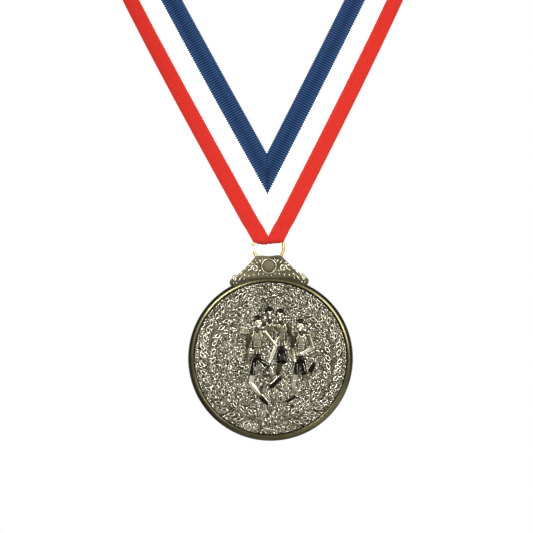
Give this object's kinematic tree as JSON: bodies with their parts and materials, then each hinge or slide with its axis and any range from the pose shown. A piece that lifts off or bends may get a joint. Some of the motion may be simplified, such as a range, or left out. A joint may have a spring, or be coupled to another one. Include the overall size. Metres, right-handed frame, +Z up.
{
  "type": "finisher medal on a neck ribbon",
  "caption": "Round cast sports medal with laurel and runner relief, hung by a split ring from a striped neck ribbon.",
  "frame": {"origin": "middle of the ribbon at the nape of the neck, where the loop is held", "axes": "+Z up as the medal hangs, the medal's face looks along -Y, +X is to its viewer's right"},
  "size_m": [0.1848, 0.1471, 0.3895],
  "materials": {
    "ribbon_fabric": "grosgrain weave",
    "seam_thread": "matte",
    "tack_thread": "matte",
    "gold_wire": "polished",
    "antique_casting": "antique, polished on the raised parts"
  },
  "bodies": {
    "ribbon": {"neck_ribbon": "ribbon_fabric", "mitre_seam_thread": "seam_thread", "bar_tack_thread": "tack_thread"},
    "ring": {"jump_ring": "gold_wire"},
    "medal": {"medal": "antique_casting"}
  },
  "joints": [
    {"name": "ring_in_ribbon_fold", "type": "hinge", "parent": "ribbon", "child": "ring", "pos_m": [0, -0.13728, -0.30301], "axis": [1, 0, 0], "range_deg": [-12, 12]},
    {"name": "medal_on_ring", "type": "hinge", "parent": "ring", "child": "medal", "pos_m": [0, -0.13728, -0.31061], "axis": [1, 0, 0], "range_deg": [-5, 145]}
  ]
}
